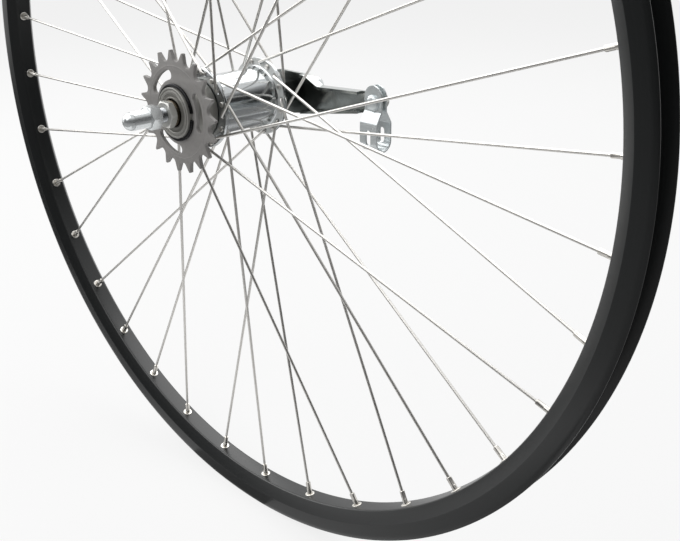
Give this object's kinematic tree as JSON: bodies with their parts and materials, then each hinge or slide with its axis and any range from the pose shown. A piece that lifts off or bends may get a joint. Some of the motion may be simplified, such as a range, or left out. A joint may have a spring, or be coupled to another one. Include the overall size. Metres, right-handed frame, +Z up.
{
  "type": "bicycle wheel",
  "caption": "Bare spoked rear bicycle wheel with a back-pedal brake hub, sprocket, cap nuts and a brake arm with a strap clip.",
  "frame": {"origin": "the wheel's centre, on the axle's axis, midway between the two cap nuts' ends", "axes": "+Y along the axle from the sprocket's side to the brake arm's side, +X along the brake arm, +Z up"},
  "size_m": [0.6509, 0.1766, 0.651],
  "materials": {
    "rim_black": "black anodised, satin",
    "spoke_steel": "zinc-plated drawn wire",
    "nipple_nickel": "nickel-plated",
    "hub_chrome": "polished chrome plate",
    "sprocket_steel": "matt grey zinc plate",
    "driver_steel": "turned, oiled",
    "spring_black": "blackened spring steel",
    "cap_steel": "pressed, dull zinc",
    "cone_steel": "hardened, dark",
    "nut_steel": "bright zinc plate",
    "axle_steel": "bright zinc plate, threaded",
    "arm_steel": "dark satin coating",
    "clip_chrome": "bright plate",
    "inner_steel": "ground, greased",
    "shoe_bronze": "plain bronze"
  },
  "bodies": {
    "axle_group": {"axle": "axle_steel", "axle_nuts": "hub_chrome", "locknuts": "nut_steel", "drive_cone": "cone_steel", "brake_anchor": "inner_steel", "brake_arm": "arm_steel", "arm_clip": "clip_chrome", "clip_bolt": "clip_chrome", "clip_nut": "clip_chrome"},
    "wheel": {"rim": "rim_black", "nipples": "nipple_nickel", "spokes_drive_outside": "spoke_steel", "spokes_drive_inside": "spoke_steel", "spokes_brake_outside": "spoke_steel", "spokes_brake_inside": "spoke_steel", "hub_shell": "hub_chrome", "drive_ball_ring": "inner_steel", "brake_ball_ring": "inner_steel"},
    "driver_group": {"driver": "driver_steel", "sprocket": "sprocket_steel", "snap_ring": "spring_black", "dust_cap": "cap_steel", "mouth_ball_ring": "inner_steel"},
    "clutch": {"clutch_cone": "inner_steel"},
    "upper_shoe": {"brake_shoe_upper": "shoe_bronze"},
    "lower_shoe": {"brake_shoe_lower": "shoe_bronze"}
  },
  "joints": [
    {"name": "wheel_spin", "type": "hinge", "parent": "axle_group", "child": "wheel", "pos_m": [0, 0, 0], "axis": [0, 1, 0], "continuous": true},
    {"name": "driver_spin", "type": "hinge", "parent": "axle_group", "child": "driver_group", "pos_m": [0, 0, 0], "axis": [0, 1, 0], "continuous": true},
    {"name": "clutch_slide", "type": "slide", "parent": "driver_group", "child": "clutch", "axis": [0, 1, 0], "range_m": [0, 0.0015]},
    {"name": "upper_shoe_slide", "type": "slide", "parent": "axle_group", "child": "upper_shoe", "axis": [0, 0, 1], "range_m": [0, 0.0005]},
    {"name": "lower_shoe_slide", "type": "slide", "parent": "axle_group", "child": "lower_shoe", "axis": [0, 0, -1], "range_m": [0, 0.0005]}
  ],
  "couplings": [
    {"joint": "upper_shoe_slide", "follows": "clutch_slide", "ratio": 0.33333},
    {"joint": "lower_shoe_slide", "follows": "clutch_slide", "ratio": 0.33333}
  ]
}
